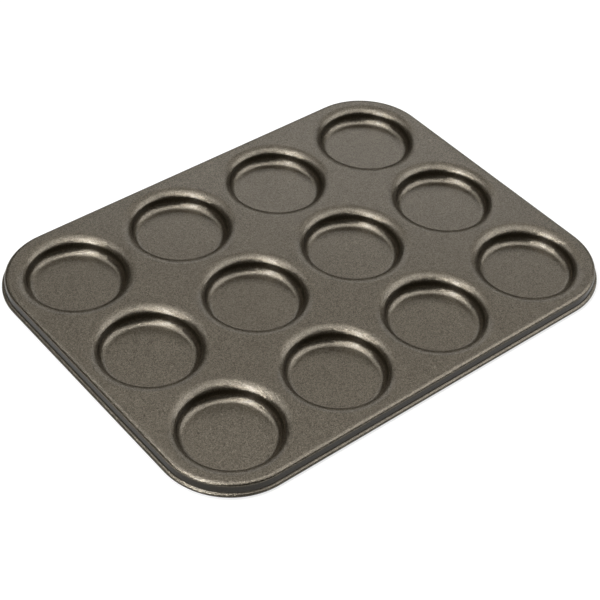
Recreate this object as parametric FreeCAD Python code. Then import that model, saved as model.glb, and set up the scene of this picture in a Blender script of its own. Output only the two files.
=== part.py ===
"""Shallow twelve-cup muffin tin: one pressed sheet whose edge is curled round a steel wire.

Millimetres. +X runs along the four cups, +Y along the three, +Z is up. The origin is under
the middle of the tin, on the plane that the flat cup floors stand on.
"""
import FreeCAD, Part
import math
import os

V = FreeCAD.Vector

# Driving dimensions ------------------------------------------------------------------------
sheet = 0.6                  # thickness of the pressed sheet

columns_count = 4            # cups along the tin
rows_count = 3               # cups across it
pitch = 84.0                 # from one cup's centre to the next, both ways
deck_web = 2.6               # flat deck left between two neighbouring cups' lips
deck_border = 3.0            # flat deck left between the outer cups' lips and the shoulder

cup_depth = 10.0             # from the deck's top to the cup floor's top
lip_soft_radius = 14.3       # the lip's first, gentle bend
lip_soft_slope = 18.0        # where it ends, in degrees below level
lip_middle_radius = 7.4      # the bend that steepens it
lip_middle_slope = 42.0      # where that ends
lip_tight_radius = 2.5       # the bend that takes the lip down into the wall
wall_slope = 80.0            # of the cup's wall
floor_fillet = 5.0           # between wall and floor, inside the cup

shoulder_soft_radius = 5.5   # the deck's outer edge, first bend
shoulder_soft_slope = 20.0   # where it ends
shoulder_tight_radius = 1.9  # and the bend down into the skirt
skirt_slope = 86.0           # of the outer skirt
flare_radius = 0.6           # outside bend from the skirt out to the bead
bead_drop = 8.2              # from the deck's top down to the bead's centre
curl_turn = 270.0            # how far the edge wraps round the wire, in degrees

wire_radius = 0.6            # steel wire in the bead
wire_clearance = 0.05        # between the wire and the curl, all round
wire_gap = 1.5               # between the wire's two cut ends

# Sizes that follow -------------------------------------------------------------------------
deck_top = cup_depth + sheet
cup_mouth_radius = (pitch - deck_web) / 2          # where the deck ends and the lip begins
deck_reach = cup_mouth_radius + deck_border        # from the outer cups' centres to the shoulder
bead_radius = wire_radius + wire_clearance + sheet
cup_centres = [
    ((column - (columns_count - 1) / 2) * pitch, (row - (rows_count - 1) / 2) * pitch)
    for row in range(rows_count)
    for column in range(columns_count)
]
corner_x, corner_y = cup_centres[-1]


def rise(radius, start, end):
    """Height that an arc covers while its slope goes from start to end degrees."""
    return radius * abs(math.cos(math.radians(start)) - math.cos(math.radians(end)))


def reach(radius, start, end):
    """Level distance that an arc covers while its slope goes from start to end degrees."""
    return radius * abs(math.sin(math.radians(end)) - math.sin(math.radians(start)))


def slope_length(height, slope):
    """Length of a straight run that drops by height at a slope in degrees."""
    return height / math.sin(math.radians(slope))


# Walking a cross-section -------------------------------------------------------------------
class Skin:
    """One skin of the sheet, walked in a (distance, height) plane.

    offset is how far this skin lies below the outer one. Slopes are degrees below level, and
    a positive turn bends the sheet downwards.
    """

    def __init__(self, offset, place):
        self.offset = offset
        self.place = place
        self.slope = 0.0
        self.point = (0.0, -offset)
        self.edges = []

    def normal(self):
        """Unit vector from the outer skin to the inner one."""
        a = math.radians(self.slope)
        return (-math.sin(a), -math.cos(a))

    def line(self, length):
        a = math.radians(self.slope)
        start = self.point
        self.point = (start[0] + length * math.cos(a), start[1] - length * math.sin(a))
        self.edges.append(Part.makeLine(self.place(*start), self.place(*self.point)))

    def bend(self, radius, turn):
        side = math.copysign(1.0, turn)
        own = radius - side * self.offset
        nx, nz = self.normal()
        centre = (self.point[0] + side * own * nx, self.point[1] + side * own * nz)
        points = [self.point]
        for share in (0.5, 1.0):
            a = math.radians(self.slope + share * turn)
            points.append((centre[0] + side * own * math.sin(a), centre[1] + side * own * math.cos(a)))
        self.edges.append(Part.Arc(*[self.place(*p) for p in points]).toShape())
        self.point = points[-1]
        self.slope += turn


def strip(moves, place):
    """Face of the sheet's section: its outer skin, its inner skin and the two cut ends."""
    outer = Skin(0.0, place)
    inner = Skin(sheet, place)
    for skin in (outer, inner):
        for kind, *sizes in moves:
            getattr(skin, kind)(*sizes)
    ends = [
        Part.makeLine(place(0.0, 0.0), place(0.0, -sheet)),
        Part.makeLine(place(*outer.point), place(*inner.point)),
    ]
    return Part.Face(Part.Wire(Part.__sortEdges__(outer.edges + inner.edges + ends)))


# The cup -----------------------------------------------------------------------------------
lip_drop = (
    rise(lip_soft_radius, 0, lip_soft_slope)
    + rise(lip_middle_radius, lip_soft_slope, lip_middle_slope)
    + rise(lip_tight_radius, lip_middle_slope, wall_slope)
)
wall_height = cup_depth - lip_drop - rise(floor_fillet, wall_slope, 0)
floor_radius = (
    cup_mouth_radius
    - reach(lip_soft_radius, 0, lip_soft_slope)
    - reach(lip_middle_radius, lip_soft_slope, lip_middle_slope)
    - reach(lip_tight_radius, lip_middle_slope, wall_slope)
    - wall_height / math.tan(math.radians(wall_slope))
    - reach(floor_fillet, wall_slope, 0)
)


def cup_shell():
    """One drawn cup about the Z axis, from the edge of the flat deck to its closed floor."""
    section = strip(
        [
            ("bend", lip_soft_radius, lip_soft_slope),
            ("bend", lip_middle_radius, lip_middle_slope - lip_soft_slope),
            ("bend", lip_tight_radius, wall_slope - lip_middle_slope),
            ("line", slope_length(wall_height, wall_slope)),
            ("bend", floor_fillet, -wall_slope),
            ("line", floor_radius),
        ],
        lambda inward, height: V(cup_mouth_radius - inward, 0, deck_top + height),
    )
    return section.revolve(V(0, 0, 0), V(0, 0, 1), 360)


# The rim -----------------------------------------------------------------------------------
skirt_height = (
    bead_drop
    - bead_radius
    - rise(shoulder_soft_radius, 0, shoulder_soft_slope)
    - rise(shoulder_tight_radius, shoulder_soft_slope, skirt_slope)
    - rise(flare_radius, skirt_slope, 0)
)
wire_reach = (
    deck_reach
    + reach(shoulder_soft_radius, 0, shoulder_soft_slope)
    + reach(shoulder_tight_radius, shoulder_soft_slope, skirt_slope)
    + skirt_height / math.tan(math.radians(skirt_slope))
    + reach(flare_radius, skirt_slope, 0)
)


def round_the_tin(section):
    """Solids that carry a section round the tin: a quarter turn about each corner cup's
    centre, and a straight run on to the next corner."""
    solids = []
    corners = [(corner_x, corner_y), (-corner_x, corner_y), (-corner_x, -corner_y), (corner_x, -corner_y)]
    for index, (x, y) in enumerate(corners):
        start = section.copy()
        start.rotate(V(0, 0, 0), V(0, 0, 1), 90 * index)
        start.translate(V(x, y, 0))
        solids.append(start.revolve(V(x, y, 0), V(0, 0, 1), 90))
        end = start.copy()
        end.rotate(V(x, y, 0), V(0, 0, 1), 90)
        next_x, next_y = corners[(index + 1) % len(corners)]
        solids.append(end.extrude(V(next_x - x, next_y - y, 0)))
    return solids


def rim_solids():
    """Shoulder, skirt, flare and the curl that wraps the wire."""
    section = strip(
        [
            ("bend", shoulder_soft_radius, shoulder_soft_slope),
            ("bend", shoulder_tight_radius, skirt_slope - shoulder_soft_slope),
            ("line", slope_length(skirt_height, skirt_slope)),
            ("bend", flare_radius, -skirt_slope),
            ("bend", bead_radius, curl_turn),
        ],
        lambda outward, height: V(deck_reach + outward, 0, deck_top + height),
    )
    return round_the_tin(section)


def deck():
    """The flat top between the cups and the rim, with a hole where each cup begins."""
    corner = Part.makeCylinder(deck_reach, sheet)
    plate = Part.makeBox(2 * corner_x, 2 * (corner_y + deck_reach), sheet)
    plate.translate(V(-corner_x, -corner_y - deck_reach, 0))
    side = Part.makeBox(2 * (corner_x + deck_reach), 2 * corner_y, sheet)
    side.translate(V(-corner_x - deck_reach, -corner_y, 0))
    corners = []
    for x in (-corner_x, corner_x):
        for y in (-corner_y, corner_y):
            corners.append(corner.translated(V(x, y, 0)))
    plate = plate.multiFuse([side] + corners).removeSplitter()
    holes = [Part.makeCylinder(cup_mouth_radius, sheet, V(x, y, 0)) for x, y in cup_centres]
    return plate.cut(holes).translated(V(0, 0, deck_top - sheet))


def pan_sheet():
    """The whole pressing: deck, cups and rim are one piece of sheet."""
    cup = cup_shell()
    cups = [cup.translated(V(x, y, 0)) for x, y in cup_centres]
    return deck().multiFuse(cups + rim_solids()).removeSplitter()


def rim_wire():
    """The wire in the bead: one loop of rod, its ends meeting at the middle of the back."""
    height = deck_top - bead_drop
    ring = Part.makeCircle(wire_radius, V(wire_reach, 0, height), V(0, 1, 0))
    solids = round_the_tin(Part.Face(Part.Wire(ring)))
    loop = solids[0].multiFuse(solids[1:]).removeSplitter()
    saw = Part.makeBox(wire_gap, 4 * wire_radius, 4 * wire_radius)
    saw.translate(V(-wire_gap / 2, corner_y + wire_reach - 2 * wire_radius, height - 2 * wire_radius))
    return loop.cut(saw)


# Writing the pieces ------------------------------------------------------------------------
os.makedirs("parts", exist_ok=True)
for name, shape in {"pan_sheet": pan_sheet(), "rim_wire": rim_wire()}.items():
    shape.exportStep(f"parts/{name}.step")
    box = shape.optimalBoundingBox()
    print(
        f"{name}: {len(shape.Solids)} solid, valid {shape.isValid()}, {shape.Volume / 1000:.1f} cm3,"
        f" {box.XLength:.2f} x {box.YLength:.2f} x {box.ZLength:.2f} mm, from z {box.ZMin:.2f}"
    )
print(f"deck top {deck_top:.2f}, flat floor radius {floor_radius:.2f}, wall height {wall_height:.2f}")
print(f"wire {wire_reach:.2f} beyond the outer cups' centres, skirt height {skirt_height:.2f}")
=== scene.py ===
# %% [markdown]
# # A shallow twelve-cup muffin tin
#
# The tin is one pressed sheet of thin steel with a dark non-stick coating, and its edge is
# curled round a steel wire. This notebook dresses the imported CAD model: it loads the frame,
# sets the camera and lights, and then gives the pressing a smooth surface and both metals
# their finish. All lengths are metres, and `MM` turns the maker's millimetres into them.

# %% Load the frame
import math
import bmesh
import bpy
from mathutils import Matrix, Vector


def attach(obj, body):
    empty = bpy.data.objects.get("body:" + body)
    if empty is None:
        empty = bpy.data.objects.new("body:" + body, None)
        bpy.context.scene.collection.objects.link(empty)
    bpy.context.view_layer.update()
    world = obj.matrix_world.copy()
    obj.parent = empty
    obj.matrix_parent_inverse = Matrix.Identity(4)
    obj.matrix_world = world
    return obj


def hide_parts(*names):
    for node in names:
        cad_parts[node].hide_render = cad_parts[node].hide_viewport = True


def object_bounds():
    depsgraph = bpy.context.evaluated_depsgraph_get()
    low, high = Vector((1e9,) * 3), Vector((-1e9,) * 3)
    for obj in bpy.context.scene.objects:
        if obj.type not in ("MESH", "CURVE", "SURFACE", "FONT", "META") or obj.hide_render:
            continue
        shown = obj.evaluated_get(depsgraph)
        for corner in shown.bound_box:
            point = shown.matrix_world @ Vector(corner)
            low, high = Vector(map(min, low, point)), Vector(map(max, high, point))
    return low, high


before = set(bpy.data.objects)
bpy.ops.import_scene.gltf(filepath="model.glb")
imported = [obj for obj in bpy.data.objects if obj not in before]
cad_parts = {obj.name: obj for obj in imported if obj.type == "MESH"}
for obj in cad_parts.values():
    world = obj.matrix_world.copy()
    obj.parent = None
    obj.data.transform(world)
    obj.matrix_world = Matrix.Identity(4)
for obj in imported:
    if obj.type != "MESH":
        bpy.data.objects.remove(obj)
cad_box = [list(corner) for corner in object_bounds()]
MM = 0.001
deck_top = cad_box[1][2]
print("CAD box in mm:", [[round(value / MM, 2) for value in corner] for corner in cad_box])

# %% [markdown]
# ## The camera
#
# The tin is seen from above one corner with a long lens, a little rolled. A camera can be
# aimed with a Track To constraint, but its roll is easier to state as a turn of its own axes,
# so the three axes are worked out from azimuth, elevation and roll and put in its matrix.

# %% Place the camera
camera_azimuth = math.radians(-41.6)
camera_elevation = math.radians(43.27)
camera_roll = math.radians(3.86)
camera_distance = 1.0484
camera_aim = Vector((-22.64 * MM, -23.20 * MM, deck_top))
focal_length = 96.19

back = Vector((
    math.sin(camera_azimuth) * math.cos(camera_elevation),
    -math.cos(camera_azimuth) * math.cos(camera_elevation),
    math.sin(camera_elevation),
))
level = Vector((0, 0, 1)).cross(back).normalized()
right = math.cos(camera_roll) * level + math.sin(camera_roll) * back.cross(level)
axes = Matrix((right, back.cross(right), back)).transposed()

camera = bpy.data.objects.new("camera", bpy.data.cameras.new("camera"))
camera.data.lens = focal_length
camera.data.sensor_width = 36
camera.data.clip_end = 20
camera.matrix_world = Matrix.Translation(camera_aim + camera_distance * back) @ axes.to_4x4()
bpy.context.scene.collection.objects.link(camera)
bpy.context.scene.camera = camera
bpy.context.scene.view_settings.view_transform = "Standard"
print("camera at", [round(value, 3) for value in camera.matrix_world.translation])

# %% [markdown]
# ## Three small helpers
#
# Colours are written as sRGB hex, the way a paint chart gives them, and one function turns
# them to the linear values that shaders work in. The next adds a node to a tree, sets its
# options and fills or links its inputs, so that every tree below reads as a list of nodes.
# The last starts a material with nothing but its output.


# %% Helpers for colours and nodes
def linear(hex_colour):
    """Linear RGBA of an sRGB hex colour such as "8a7f70", by the sRGB standard's curve."""
    channels = [int(hex_colour[i:i + 2], 16) / 255 for i in (0, 2, 4)]
    return [c / 12.92 if c <= 0.04045 else ((c + 0.055) / 1.055) ** 2.4 for c in channels] + [1.0]


def add(tree, kind, inputs=None, **settings):
    """Adds a node. An input's value is a number, a colour or another node's output socket."""
    node = tree.nodes.new(kind)
    for name, value in settings.items():
        setattr(node, name, value)
    for name, value in (inputs or {}).items():
        if isinstance(value, bpy.types.NodeSocket):
            tree.links.new(value, node.inputs[name])
        else:
            node.inputs[name].default_value = value
    return node


def new_material(name):
    """An empty material, its node tree and its output node."""
    material = bpy.data.materials.new(name)
    material.use_nodes = True
    material.node_tree.nodes.clear()
    return material, material.node_tree, add(material.node_tree, "ShaderNodeOutputMaterial")


print("half grey 808080 is", round(linear("808080")[0], 3), "in linear light")

# %% [markdown]
# ## The coating
#
# The coating is a sprayed and baked PTFE enamel: a thin dark film full of mica and aluminium
# flakes. It could be one plain dark metal, but then bends and flats would shine alike. Here a
# dark, satin binder is mixed with bright flakes, and three things make it read as bakeware.
# Each flake is tipped a little its own way, so highlights have a soft edge and a sparkle. The
# flakes lie in clumps, which gives the fine grain. And steep walls and faces that look down get
# fewer flakes, so they stay nearly black: a painted shade for the dark room that they mirror.

# %% The flakes in the coating
flake_size = 0.25 * MM          # real ones are a fifth of this, drawn as coarse as they show
clump_size = 0.45 * MM          # the grain that the eye picks up
flake_tilt = 0.38               # spread of a flake's normal, as a share of its length
flake_share = (0.13, 0.36)      # covered by flakes, from the barest clump to the fullest
steep_shade_share = 0.06              # of those flakes left on an upright wall, a painted shade
underside_shade_share = 0.60              # and on the level underside, a lighter painted shade
steep_shade_span = (0.02, 0.60)         # a normal's upward part where the painted shade begins to lift, and where it is gone
underside = (-0.75, -0.95)      # the same for the faces that look down
print(f"flakes {flake_size / MM:.2f} mm, clumps {clump_size / MM:.2f} mm")


# %% Non-stick coating with metal flake
def nonstick_coating():
    """PTFE enamel, sprayed and baked: a dark satin film with bright flakes in it."""
    material, tree, output = new_material("nonstick_ptfe_with_metal_flake")
    place = add(tree, "ShaderNodeTexCoord").outputs["Object"]
    facing = add(tree, "ShaderNodeNewGeometry").outputs["Normal"]

    # How much of a spot is flake: by clump, and less on steep or downward faces, a painted shade
    clumps = add(tree, "ShaderNodeTexVoronoi", {"Vector": place, "Scale": 1 / clump_size})
    clump = add(tree, "ShaderNodeSeparateColor", {"Color": clumps.outputs["Color"]}).outputs["Red"]
    share = add(tree, "ShaderNodeMapRange", {
        "Value": clump, "To Min": flake_share[0], "To Max": flake_share[1]})
    level = add(tree, "ShaderNodeSeparateXYZ", {"Vector": facing}).outputs["Z"]
    steep_shade = add(tree, "ShaderNodeMapRange", {
        "Value": level, "From Min": steep_shade_span[0], "From Max": steep_shade_span[1],
        "To Min": steep_shade_share, "To Max": 1.0}, interpolation_type="SMOOTHSTEP")
    underside_shade = add(tree, "ShaderNodeMapRange", {
        "Value": level, "From Min": underside[0], "From Max": underside[1],
        "To Max": underside_shade_share}, interpolation_type="SMOOTHSTEP")
    kept = add(tree, "ShaderNodeMath", {
        0: steep_shade.outputs["Result"], 1: underside_shade.outputs["Result"]}, operation="MAXIMUM")
    share = add(tree, "ShaderNodeMath", {
        0: share.outputs["Result"], 1: kept.outputs[0]}, operation="MULTIPLY")

    # Each flake's own tilt: a cell's random colour, centred on zero, added to the normal
    flakes = add(tree, "ShaderNodeTexVoronoi", {"Vector": place, "Scale": 1 / flake_size})
    tilt = add(tree, "ShaderNodeVectorMath", {
        0: flakes.outputs["Color"], 1: (0.5, 0.5, 0.5)}, operation="SUBTRACT").outputs["Vector"]
    tilt = add(tree, "ShaderNodeVectorMath", {
        0: tilt, "Scale": flake_tilt}, operation="SCALE").outputs["Vector"]
    tipped = add(tree, "ShaderNodeVectorMath", {0: facing, 1: tilt}, operation="ADD")
    tipped = add(tree, "ShaderNodeVectorMath", {
        0: tipped.outputs["Vector"]}, operation="NORMALIZE").outputs["Vector"]

    # PTFE bends light less than most plastics, so its own gloss is weak
    binder = add(tree, "ShaderNodeBsdfPrincipled", {
        "Base Color": linear("18140d"), "Roughness": 0.20, "IOR": 1.38,
        "Specular IOR Level": 0.3})
    flake = add(tree, "ShaderNodeBsdfPrincipled", {
        "Base Color": linear("c9beab"), "Metallic": 1.0, "Roughness": 0.28, "Normal": tipped})
    both = add(tree, "ShaderNodeMixShader", {
        0: share.outputs[0], 1: binder.outputs["BSDF"], 2: flake.outputs["BSDF"]})
    tree.links.new(both.outputs["Shader"], output.inputs["Surface"])
    return material


coating = nonstick_coating()
print("coating nodes:", len(coating.node_tree.nodes))

# %% [markdown]
# ## The wire's finish
#
# The wire inside the curled edge is drawn mild steel, bare because the curl hides it. The die
# that draws it leaves faint lines along its length. The loop lies level, so a line along it
# keeps one height all the way round, and a noise that changes quickly with height and slowly
# along the loop draws just such lines, with no need of a UV map.

# %% Drawn steel wire
die_line = 0.12 * MM            # from one drawing line to the next
line_length = 25 * MM           # how far a line runs before it fades
die_groove = 0.02 * MM          # depth of a drawing line
wire_roughness = (0.26, 0.44)   # from a polished line to a dull one


def drawn_steel():
    """Mild steel pulled through a die: a soft shine broken by lines along the wire."""
    material, tree, output = new_material("drawn_mild_steel_wire")
    place = add(tree, "ShaderNodeTexCoord").outputs["Object"]
    stretched = add(tree, "ShaderNodeMapping", {
        "Vector": place, "Scale": (1 / line_length, 1 / line_length, 1 / die_line)})
    lines = add(tree, "ShaderNodeTexNoise", {
        "Vector": stretched.outputs["Vector"], "Scale": 1.0, "Detail": 2.0}).outputs["Fac"]
    tone = add(tree, "ShaderNodeMix", {
        "Factor": lines, "A": linear("8f8d88"), "B": linear("b9b8b4")}, data_type="RGBA")
    dull = add(tree, "ShaderNodeMapRange", {
        "Value": lines, "To Min": wire_roughness[0], "To Max": wire_roughness[1]})
    groove = add(tree, "ShaderNodeBump", {
        "Height": lines, "Strength": 0.4, "Distance": die_groove})
    skin = add(tree, "ShaderNodeBsdfPrincipled", {
        "Base Color": tone.outputs["Result"], "Metallic": 1.0,
        "Roughness": dull.outputs["Result"], "Normal": groove.outputs["Normal"]})
    tree.links.new(skin.outputs["BSDF"], output.inputs["Surface"])
    return material


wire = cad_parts["rim_wire"]
wire_steel = drawn_steel()
for slot in wire.material_slots:
    slot.material = wire_steel
print("wire slots:", len(wire.material_slots))

# %% [markdown]
# ## The pressing's sections
#
# A die maker draws a pressing as sections made of straight runs and tangent bends. There are
# two here: the cup, from the edge of the flat deck over the lip and down the wall to the
# middle of the floor, and the rim, from the deck over the shoulder, down the skirt and out
# round the wire. Each is walked like a pen: go straight, or bend by so many degrees.

# %% Sizes of the pressing
sheet = 0.6 * MM
pitch = 84.0 * MM
cups_along, cups_across = 4, 3
cup_depth = deck_top - sheet
mouth_radius = 40.7 * MM
lip_soft_radius, lip_soft_turn = 14.3 * MM, 18
lip_mid_radius, lip_mid_turn = 7.4 * MM, 42
lip_tight_radius, wall_slope = 2.5 * MM, 80
floor_fillet = 5.0 * MM
rim_reach = cad_box[1][0] - pitch * (cups_along - 1) / 2
shoulder_soft_radius, shoulder_soft_turn = 5.5 * MM, 20
shoulder_tight_radius, skirt_slope = 1.9 * MM, 86
flare_radius = 0.6 * MM
bead_radius, bead_drop = 1.25 * MM, 8.2 * MM
curl_turn = 270
flat_margin = 0.25 * MM         # flat deck kept with each section, so that shading starts level
print(f"cups {cup_depth / MM:.1f} mm deep, rim {rim_reach / MM:.2f} mm beyond the outer centres")


# %% Measuring and walking a section
def rise(radius, start, end):
    """Height that a bend covers while its slope goes from start to end degrees."""
    return radius * abs(math.cos(math.radians(start)) - math.cos(math.radians(end)))


def reach(radius, start, end):
    """Level distance that a bend covers while its slope goes from start to end degrees."""
    return radius * abs(math.sin(math.radians(end)) - math.sin(math.radians(start)))


def walk(moves):
    """Points (distance, height) of an outline of ("run", length, facets) and
    ("bend", radius, turn, facets) moves. A positive turn bends downwards."""
    slope, points = 0.0, [(0.0, 0.0)]
    for kind, size, *rest in moves:
        x, z = points[-1]
        facets = rest[-1]
        if kind == "run":
            for facet in range(1, facets + 1):
                length = size * facet / facets
                points.append((x + length * math.cos(slope), z - length * math.sin(slope)))
            continue
        turn = math.radians(rest[0])
        side = math.copysign(size, turn)
        for facet in range(1, facets + 1):
            angle = slope + turn * facet / facets
            points.append((
                x + side * (math.sin(angle) - math.sin(slope)),
                z - side * (math.cos(slope) - math.cos(angle)),
            ))
        slope += turn
    return points


print("a quarter bend of radius 1 ends at", [round(v, 2) for v in walk([("bend", 1, 90, 3)])[-1]])

# %% [markdown]
# The bends and the wall's slope are given. What the bends leave of the cup's depth is the
# wall's height, and what they leave of its width is the flat floor. The rim is worked out from
# its outer edge inwards, because the frame's box gives that edge. Soft bends get a facet every
# four to six degrees and tight ones every eight or nine, because a wide facet shows in a satin
# gloss sooner than a narrow one. The tiny flare and bead need only one every fifteen or so.

# %% The cup's section
lip_drop = (
    rise(lip_soft_radius, 0, lip_soft_turn)
    + rise(lip_mid_radius, lip_soft_turn, lip_mid_turn)
    + rise(lip_tight_radius, lip_mid_turn, wall_slope)
)
wall_height = cup_depth - lip_drop - rise(floor_fillet, wall_slope, 0)
floor_radius = (
    mouth_radius
    - reach(lip_soft_radius, 0, lip_soft_turn)
    - reach(lip_mid_radius, lip_soft_turn, lip_mid_turn)
    - reach(lip_tight_radius, lip_mid_turn, wall_slope)
    - wall_height / math.tan(math.radians(wall_slope))
    - reach(floor_fillet, wall_slope, 0)
)
cup_section = walk([
    ("run", flat_margin, 1),
    ("bend", lip_soft_radius, lip_soft_turn, 5),
    ("bend", lip_mid_radius, lip_mid_turn - lip_soft_turn, 4),
    ("bend", lip_tight_radius, wall_slope - lip_mid_turn, 5),
    ("run", wall_height / math.sin(math.radians(wall_slope)), 2),
    ("bend", floor_fillet, -wall_slope, 9),
    ("run", flat_margin, 1),
    ("run", floor_radius - flat_margin, 2),
])
print(f"cup section {len(cup_section)} points, floor radius {floor_radius / MM:.2f} mm")

# %% The rim's section
skirt_height = (
    bead_drop
    - bead_radius
    - rise(shoulder_soft_radius, 0, shoulder_soft_turn)
    - rise(shoulder_tight_radius, shoulder_soft_turn, skirt_slope)
    - rise(flare_radius, skirt_slope, 0)
)
deck_reach = (
    rim_reach
    - bead_radius
    - reach(shoulder_soft_radius, 0, shoulder_soft_turn)
    - reach(shoulder_tight_radius, shoulder_soft_turn, skirt_slope)
    - skirt_height / math.tan(math.radians(skirt_slope))
    - reach(flare_radius, skirt_slope, 0)
)
rim_section = walk([
    ("run", flat_margin, 1),
    ("bend", shoulder_soft_radius, shoulder_soft_turn, 4),
    ("bend", shoulder_tight_radius, skirt_slope - shoulder_soft_turn, 8),
    ("run", skirt_height / math.sin(math.radians(skirt_slope)), 2),
    ("bend", flare_radius, -skirt_slope, 5),
    ("bend", bead_radius, curl_turn, 18),
])
print(f"rim section {len(rim_section)} points, deck reach {deck_reach / MM:.2f} mm")

# %% [markdown]
# ## From section to outline
#
# A node tree can't walk a section, but it can read an object. So each section becomes a plain
# chain of edges. A sweep lays an outline's X to the side of its path and its Y downwards. The
# cup's outline runs inwards from its mouth, and the rim's outwards from the deck's edge.


# %% Turn a section into an outline
def outline_object(name, points, side):
    """An edge chain with distance along X, on its side of the path, and depth along Y."""
    mesh = bpy.data.meshes.new(name)
    corners = [(side * x, -z, 0) for x, z in points]
    mesh.from_pydata(corners, [(i, i + 1) for i in range(len(points) - 1)], [])
    return bpy.data.objects.new(name, mesh)


cup_outline = outline_object("cup_section", cup_section, -1)
rim_outline = outline_object("rim_section", rim_section, 1)
print("edges:", len(cup_outline.data.edges), "in a cup,", len(rim_outline.data.edges), "in the rim")

# %% [markdown]
# ## The pressing
#
# The sheet follows a rule: one cup section turned about a centre and repeated on a grid, one
# rim section carried round a rounded rectangle, and a flat deck that fills what is left. It
# could be sculpted or cut with booleans, but those leave uneven faces that show in a satin
# gloss. Geometry Nodes sweep each section, repeat the cup and fill the deck, and the tree
# keeps the die's sizes as named inputs.

# %% The tree and its named inputs
tin_tree = bpy.data.node_groups.new("pressed_tin", "GeometryNodeTree")
tin_tree.interface.new_socket("Geometry", in_out="OUTPUT", socket_type="NodeSocketGeometry")
input_kinds = {
    "Cup Section": "Object", "Rim Section": "Object", "Coating": "Material",
    "Pitch": "Float", "Cups Along": "Int", "Cups Across": "Int",
    "Hole Radius": "Float", "Deck Reach": "Float", "Deck Height": "Float",
    "Cup Facets": "Int", "Corner Facets": "Int",
}
for name, kind in input_kinds.items():
    tin_tree.interface.new_socket(name, in_out="INPUT", socket_type=f"NodeSocket{kind}")
given = add(tin_tree, "NodeGroupInput").outputs
profiles = {}
for name in ("Cup Section", "Rim Section"):
    shape = add(tin_tree, "GeometryNodeObjectInfo", {"Object": given[name]}).outputs["Geometry"]
    profiles[name] = add(tin_tree, "GeometryNodeMeshToCurve", {"Mesh": shape}).outputs["Curve"]
print("inputs:", ", ".join(input_kinds))

# %% Cups on their grid
spans = []                      # from the first cup's centre to the last, along and across
for count in ("Cups Along", "Cups Across"):
    steps = add(tin_tree, "ShaderNodeMath", {0: given[count], 1: 1}, operation="SUBTRACT")
    span = add(tin_tree, "ShaderNodeMath", {
        0: given["Pitch"], 1: steps.outputs[0]}, operation="MULTIPLY")
    spans.append(span.outputs[0])
grid = add(tin_tree, "GeometryNodeMeshGrid", {
    "Size X": spans[0], "Size Y": spans[1],
    "Vertices X": given["Cups Along"], "Vertices Y": given["Cups Across"]}).outputs["Mesh"]
mouth = add(tin_tree, "GeometryNodeCurvePrimitiveCircle", {
    "Resolution": given["Cup Facets"], "Radius": given["Hole Radius"]}).outputs["Curve"]
cup = add(tin_tree, "GeometryNodeCurveToMesh", {
    "Curve": mouth, "Profile Curve": profiles["Cup Section"]}).outputs["Mesh"]
cups = add(tin_tree, "GeometryNodeInstanceOnPoints", {
    "Points": grid, "Instance": cup}).outputs["Instances"]
print("nodes so far:", len(tin_tree.nodes))

# %% Rim round the deck's edge
sides = [
    add(tin_tree, "ShaderNodeMath", {0: given["Deck Reach"], 1: 2, 2: span},
        operation="MULTIPLY_ADD").outputs[0]
    for span in spans
]
rectangle = add(tin_tree, "GeometryNodeCurvePrimitiveQuadrilateral", {
    "Width": sides[0], "Height": sides[1]}).outputs["Curve"]
edge = add(tin_tree, "GeometryNodeFilletCurve", {
    "Curve": rectangle, "Radius": given["Deck Reach"],
    "Count": given["Corner Facets"]}, mode="POLY").outputs["Curve"]
rim = add(tin_tree, "GeometryNodeCurveToMesh", {
    "Curve": edge, "Profile Curve": profiles["Rim Section"]}).outputs["Mesh"]
print("nodes so far:", len(tin_tree.nodes))

# %% Flat deck between cups and rim
holes = add(tin_tree, "GeometryNodeInstanceOnPoints", {
    "Points": grid, "Instance": mouth}).outputs["Instances"]
holes = add(tin_tree, "GeometryNodeRealizeInstances", {"Geometry": holes}).outputs["Geometry"]
borders = add(tin_tree, "GeometryNodeJoinGeometry")
for border in (edge, holes):
    tin_tree.links.new(border, borders.inputs["Geometry"])
deck = add(tin_tree, "GeometryNodeFillCurve", {
    "Curve": borders.outputs["Geometry"]}, mode="TRIANGLES").outputs["Mesh"]
print("nodes so far:", len(tin_tree.nodes))

# %% One coated skin at the deck's height
joined = add(tin_tree, "GeometryNodeJoinGeometry")
for part in (cups, rim, deck):
    tin_tree.links.new(part, joined.inputs["Geometry"])
lift = add(tin_tree, "ShaderNodeCombineXYZ", {"Z": given["Deck Height"]}).outputs["Vector"]
raised = add(tin_tree, "GeometryNodeTransform", {
    "Geometry": joined.outputs["Geometry"], "Translation": lift}).outputs["Geometry"]
smooth = add(tin_tree, "GeometryNodeSetShadeSmooth", {"Geometry": raised}).outputs["Geometry"]
real = add(tin_tree, "GeometryNodeRealizeInstances", {"Geometry": smooth}).outputs["Geometry"]
coated = add(tin_tree, "GeometryNodeSetMaterial", {
    "Geometry": real, "Material": given["Coating"]}).outputs["Geometry"]
add(tin_tree, "NodeGroupOutput", {"Geometry": coated})
print("nodes in all:", len(tin_tree.nodes))

# %% [markdown]
# The tree runs as a modifier on an empty mesh. A modifier keeps its inputs under the sockets'
# identifiers, not their names, so they are looked up. What the tree makes is then copied to a
# plain mesh, because only plain meshes are handed on.

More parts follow.
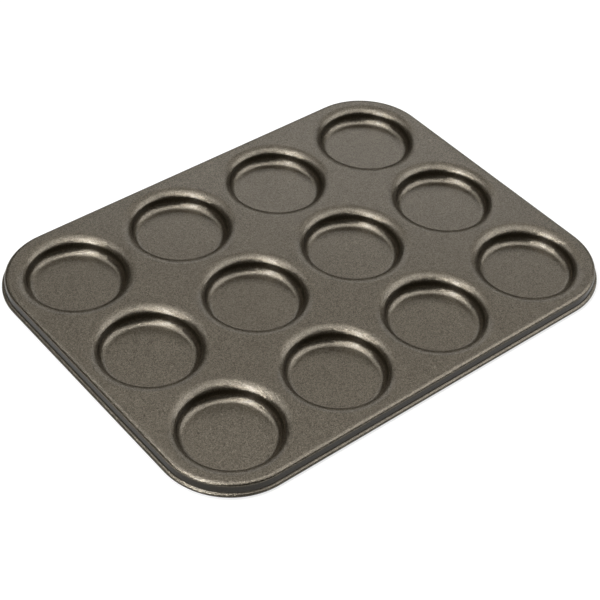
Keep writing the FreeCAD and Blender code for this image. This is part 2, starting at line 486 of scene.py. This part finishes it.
# %% Run the tree
tin_sizes = {
    "Cup Section": cup_outline,
    "Rim Section": rim_outline,
    "Coating": coating,
    "Pitch": pitch,
    "Cups Along": cups_along,
    "Cups Across": cups_across,
    "Hole Radius": mouth_radius + flat_margin,
    "Deck Reach": deck_reach - flat_margin,
    "Deck Height": deck_top,
    "Cup Facets": 96,
    "Corner Facets": 24,
}
press = bpy.data.objects.new("press", bpy.data.meshes.new("press"))
bpy.context.scene.collection.objects.link(press)
nodes = press.modifiers.new("pressed tin", "NODES")
nodes.node_group = tin_tree
for item in tin_tree.interface.items_tree:
    if item.item_type == "SOCKET" and item.in_out == "INPUT":
        nodes[item.identifier] = tin_sizes[item.name]
pressed = press.evaluated_get(bpy.context.evaluated_depsgraph_get())
pan = bpy.data.objects.new("pan_pressing", bpy.data.meshes.new_from_object(pressed))
bpy.context.scene.collection.objects.link(pan)
bpy.data.objects.remove(press)
print("skin:", len(pan.data.vertices), "points,", len(pan.data.polygons), "faces")

# %% [markdown]
# ## Welding and thickness
#
# The cups, the rim and the deck still meet edge to edge, so they are welded first, and the
# faces are turned so that the coated side looks up. Solidify then grows the skin downwards by
# the sheet's thickness, which keeps every bend concentric. Only the curl's cut edge is sharp.

# %% Weld the skin and face it upwards
weld_distance = 0.01 * MM
skin = bmesh.new()
skin.from_mesh(pan.data)
bmesh.ops.remove_doubles(skin, verts=skin.verts, dist=weld_distance)
bmesh.ops.recalc_face_normals(skin, faces=skin.faces)
highest = max(skin.faces, key=lambda face: face.calc_center_median().z)
if highest.normal.z < 0:
    bmesh.ops.reverse_faces(skin, faces=skin.faces)
skin.to_mesh(pan.data)
skin.free()
print("welded skin:", len(pan.data.vertices), "points")

# %% Give the skin its thickness
sharp_edge = math.radians(40)
solid = pan.modifiers.new("sheet thickness", "SOLIDIFY")
solid.thickness = sheet
solid.offset = -1
solid.use_even_offset = True
solid.use_quality_normals = True
thick = pan.evaluated_get(bpy.context.evaluated_depsgraph_get())
thick_mesh = bpy.data.meshes.new_from_object(thick)
pan.modifiers.remove(solid)
pan.data = thick_mesh
pan.data.set_sharp_from_angle(angle=sharp_edge)
triangles = sum(len(face.vertices) - 2 for face in pan.data.polygons)
print("pressing:", triangles, "triangles")

# %% Coat it all over
pan.data.materials.clear()      # joining left an empty slot in front of the coating's
pan.data.materials.append(coating)
print("materials:", [material.name for material in pan.data.materials])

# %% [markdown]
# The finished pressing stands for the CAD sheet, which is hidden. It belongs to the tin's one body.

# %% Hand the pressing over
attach(pan, "root")
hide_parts("pan_sheet")
print("pan_pressing replaces pan_sheet")

# %% [markdown]
# ## The floor
#
# The tin stands on a pale paper sweep that should show as plain white. More light would do
# that too, but it would bleach the tin. So the paper glows a little for camera, glossy and
# transmitted rays alone: it looks white and reflects white, and it keeps the tin's shadow.


# %% Floor
paper_glow = 0.72               # on top of what the lamps give it, to reach white


def pale_floor():
    """Matt paper that looks white and is mirrored white, but throws no extra light."""
    material, tree, output = new_material("pale_paper_sweep")
    paper = add(tree, "ShaderNodeBsdfDiffuse", {"Color": linear("9a9a98")})
    rays = add(tree, "ShaderNodeLightPath").outputs
    seen = add(tree, "ShaderNodeMath", {
        0: rays["Is Camera Ray"], 1: rays["Is Glossy Ray"]}, operation="MAXIMUM")
    seen = add(tree, "ShaderNodeMath", {
        0: seen.outputs[0], 1: rays["Is Transmission Ray"]}, operation="MAXIMUM")
    glow = add(tree, "ShaderNodeMath", {
        0: seen.outputs[0], 1: paper_glow}, operation="MULTIPLY")
    white = add(tree, "ShaderNodeEmission", {
        "Color": linear("ffffff"), "Strength": glow.outputs[0]})
    both = add(tree, "ShaderNodeAddShader", {
        0: paper.outputs["BSDF"], 1: white.outputs["Emission"]})
    tree.links.new(both.outputs["Shader"], output.inputs["Surface"])
    return material


floor_half = 6.0
floor_gap = 0.2 * MM            # below the cup floors, so that the two never share a plane
floor_mesh = bpy.data.meshes.new("floor")
floor_mesh.from_pydata(
    [(-floor_half, -floor_half, 0), (floor_half, -floor_half, 0),
     (floor_half, floor_half, 0), (-floor_half, floor_half, 0)], [], [(0, 1, 2, 3)])
floor_mesh.materials.append(pale_floor())
floor = bpy.data.objects.new("floor", floor_mesh)
bpy.context.scene.collection.objects.link(floor)
floor.location.z = cad_box[0][2] - floor_gap
print("floor", 2 * floor_half, "m square, at z", round(floor.location.z / MM, 2), "mm")

# %% [markdown]
# ## The lamps
#
# Satin metal shows the lamps more than it shows itself, so their places matter. The cups'
# highlights call for four: a tall strip box on the left, a wide soft box on the right, a
# weaker one above, and a low one behind, which the flat deck mirrors. A lamp's face keeps one
# brightness whatever its size, so its power is worked out from that brightness and its area.


# %% Soft boxes on stands round the tin
lamp_distance = 1.3


def direction(azimuth, elevation):
    """Unit vector towards a compass azimuth in the floor plane and an elevation, in degrees."""
    a, e = math.radians(azimuth), math.radians(elevation)
    return Vector((math.cos(a) * math.cos(e), math.sin(a) * math.cos(e), math.sin(e)))


def soft_box(name, azimuth, elevation, roll, width, height, radiance):
    """A rectangular lamp aimed at the tin. Its power follows from the radiance of its face."""
    lamp = bpy.data.lights.new(name, "AREA")
    lamp.shape = "RECTANGLE"
    lamp.size, lamp.size_y = width, height
    lamp.energy = radiance * math.pi * width * height
    box = bpy.data.objects.new(name, lamp)
    box.visible_camera = False
    aim = direction(azimuth, elevation)
    turned = Matrix.Rotation(math.radians(roll), 4, "Z")
    facing = aim.to_track_quat("Z", "Y").to_matrix().to_4x4() @ turned
    box.matrix_world = Matrix.Translation(aim * lamp_distance) @ facing
    bpy.context.scene.collection.objects.link(box)
    return lamp.energy


# name: azimuth, elevation and roll in degrees, width and height in metres, radiance
soft_boxes = {
    "key_strip_box": (186, 53, 14, 0.12, 1.50, 33.0),
    "right_soft_box": (336, 49, 4, 0.99, 1.28, 2.45),
    "back_soft_box": (48, 33, 0, 1.10, 0.36, 1.80),
    "top_soft_box": (102, 72, 18, 0.74, 1.31, 1.75),
}
for name, settings in soft_boxes.items():
    print(name, round(soft_box(name, *settings), 1), "W")

# %% [markdown]
# ## The room
#
# The room's walls are dark, so that the cups' walls stay dark too. Beyond the floor's edge the
# camera should still see white, so Light Path's Is Camera Ray makes them white to it alone. A
# faint pale patch behind the tin is the light that a sweep throws back.

# %% Studio walls
patch_direction = direction(60, 30)
patch_edge = (0.70, 0.90)       # cosines of the angles where the patch ends and where it is full
wall_glow = (0.02, 0.05)        # of the dark walls and of the patch

world = bpy.data.worlds.new("studio")
bpy.context.scene.world = world
world.use_nodes = True
studio = world.node_tree
studio.nodes.clear()
ray = add(studio, "ShaderNodeTexCoord").outputs["Generated"]
toward = add(studio, "ShaderNodeVectorMath", {
    0: ray, 1: patch_direction}, operation="DOT_PRODUCT").outputs["Value"]
walls = add(studio, "ShaderNodeMapRange", {
    "Value": toward, "From Min": patch_edge[0], "From Max": patch_edge[1],
    "To Min": wall_glow[0], "To Max": wall_glow[1]}, interpolation_type="SMOOTHSTEP")
camera_ray = add(studio, "ShaderNodeLightPath").outputs["Is Camera Ray"]
brightness = add(studio, "ShaderNodeMath", {
    0: walls.outputs["Result"], 1: camera_ray}, operation="MAXIMUM").outputs[0]
sky = add(studio, "ShaderNodeBackground", {"Color": linear("ffffff"), "Strength": brightness})
add(studio, "ShaderNodeOutputWorld", {"Surface": sky.outputs["Background"]})
print("studio nodes:", len(studio.nodes))
